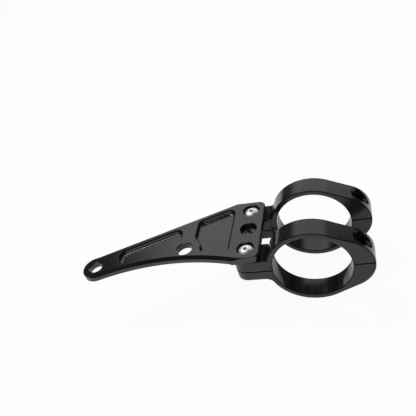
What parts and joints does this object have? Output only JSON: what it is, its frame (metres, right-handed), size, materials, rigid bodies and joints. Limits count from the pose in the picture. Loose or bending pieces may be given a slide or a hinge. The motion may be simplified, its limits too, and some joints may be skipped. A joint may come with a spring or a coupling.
{
  "type": "headlight mounting bracket",
  "caption": "Motorbike headlight bracket: split clamps for a fork tube carry a milled arm plate with a lamp hole at its tip and an indicator hole.",
  "frame": {"origin": "on the fork tube's axis, midway between the two clamps", "axes": "+Y along the fork tube's axis; -X towards the arm's tip and +X towards the clamping screws; +Z out of the arm plate's milled face"},
  "size_m": [0.1957, 0.0615, 0.057],
  "materials": {
    "anodised_plate": "black anodised, fine milled, satin",
    "anodised_clamp": "black anodised, fine turned, semi-gloss",
    "bright_screw": "bright stainless",
    "black_screw": "black oxide"
  },
  "bodies": {
    "root": {"arm_plate": "anodised_plate", "clamp_top_front": "anodised_clamp", "clamp_bottom_front": "anodised_clamp", "clamp_top_rear": "anodised_clamp", "clamp_bottom_rear": "anodised_clamp", "arm_screw_front": "bright_screw", "arm_screw_rear": "bright_screw", "clamp_screw_front": "black_screw", "clamp_screw_rear": "black_screw"}
  },
  "joints": []
}
